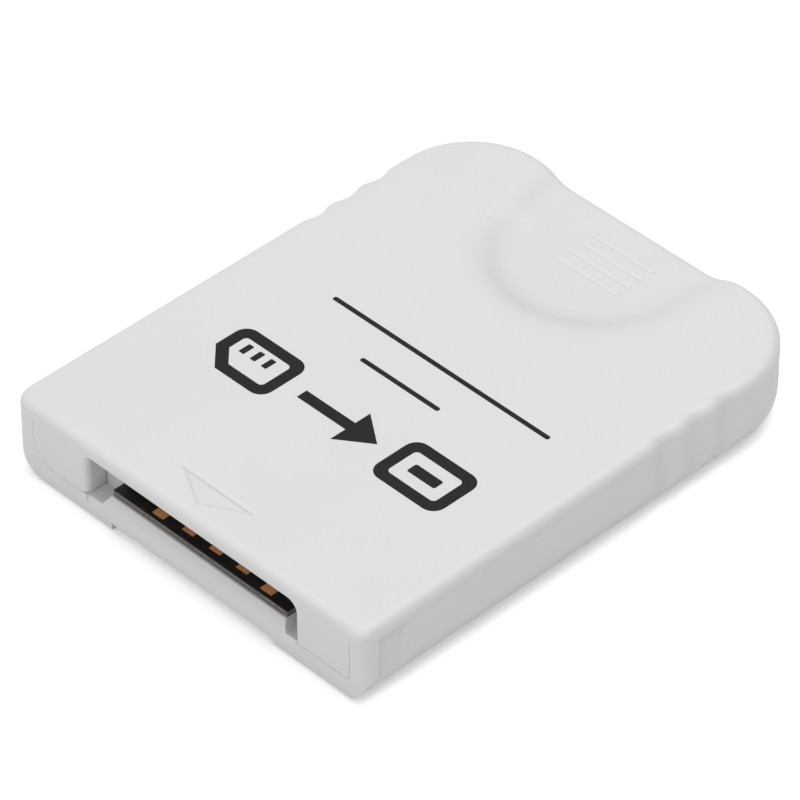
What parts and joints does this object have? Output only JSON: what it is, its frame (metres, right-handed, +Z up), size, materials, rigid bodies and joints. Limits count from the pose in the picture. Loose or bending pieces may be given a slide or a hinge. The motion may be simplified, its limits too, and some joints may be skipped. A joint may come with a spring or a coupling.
{
  "type": "memory card reader",
  "caption": "Flat pale grey plastic adapter with a connector window in its front end, a card slot in its rear end, a thumb recess and finger grips.",
  "frame": {"origin": "on the resting face, under the middle of the bounding box", "axes": "+X to the right seen from above with the connector end towards the viewer, +Y from the connector end to the card slot end, +Z up"},
  "size_m": [0.042, 0.054, 0.0078],
  "materials": {
    "housing": "fine satin moulded",
    "board": "dark solder mask",
    "gold": "thin gold plating",
    "socket_plastic": "moulded black",
    "shield_steel": "tin plated sheet",
    "spring_steel": "plated spring strip",
    "chip": "dark ceramic with tinned ends",
    "ceramic_chip": "tan ceramic with tinned ends"
  },
  "bodies": {
    "root": {"upper_shell": "housing", "lower_shell": "housing", "circuit_board": "board", "edge_contact_1": "gold", "edge_contact_2": "gold", "edge_contact_3": "gold", "edge_contact_4": "gold", "edge_contact_5": "gold", "card_socket_insulator": "socket_plastic", "card_socket_shield": "shield_steel", "card_contact_1": "gold", "card_contact_2": "gold", "card_contact_3": "gold", "card_contact_4": "gold", "card_contact_5": "gold", "card_contact_6": "gold", "card_contact_7": "gold", "card_contact_8": "gold", "card_contact_9": "gold", "card_detect_spring": "spring_steel", "write_protect_spring": "spring_steel", "chip_resistor_1": "chip", "chip_resistor_2": "chip", "chip_resistor_3": "chip", "chip_resistor_4": "chip", "chip_resistor_5": "chip", "chip_capacitor_1": "ceramic_chip", "chip_capacitor_2": "ceramic_chip"}
  },
  "joints": []
}
